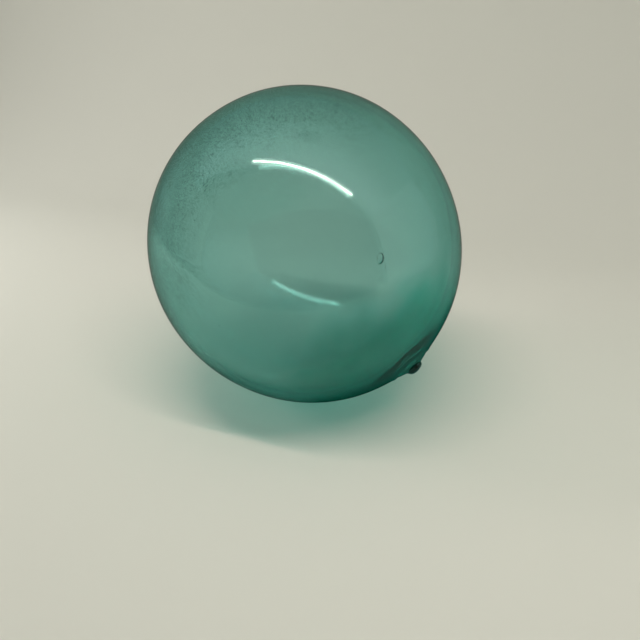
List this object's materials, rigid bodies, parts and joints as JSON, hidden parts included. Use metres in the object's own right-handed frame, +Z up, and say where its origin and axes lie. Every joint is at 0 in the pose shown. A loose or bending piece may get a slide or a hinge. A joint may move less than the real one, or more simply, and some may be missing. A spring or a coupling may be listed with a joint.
{
  "type": "glass float ball",
  "caption": "Hand-blown, sealed glass fishing float ball in teal glass, lying on its side on a small flat spot, with its fused seal button low at one side.",
  "frame": {"origin": "on the ground, on the small flat spot underneath, straight below the ball's centre", "axes": "+Z up from the flat spot; +X to the right of the front view, towards the side where the seal is; -Y towards the front"},
  "size_m": [0.0998, 0.0992, 0.0987],
  "materials": {
    "glass": "clear teal blown glass, glossy, with fine pitting and salt haze near the upper left"
  },
  "bodies": {
    "root": {"glass_float": "glass"}
  },
  "joints": []
}
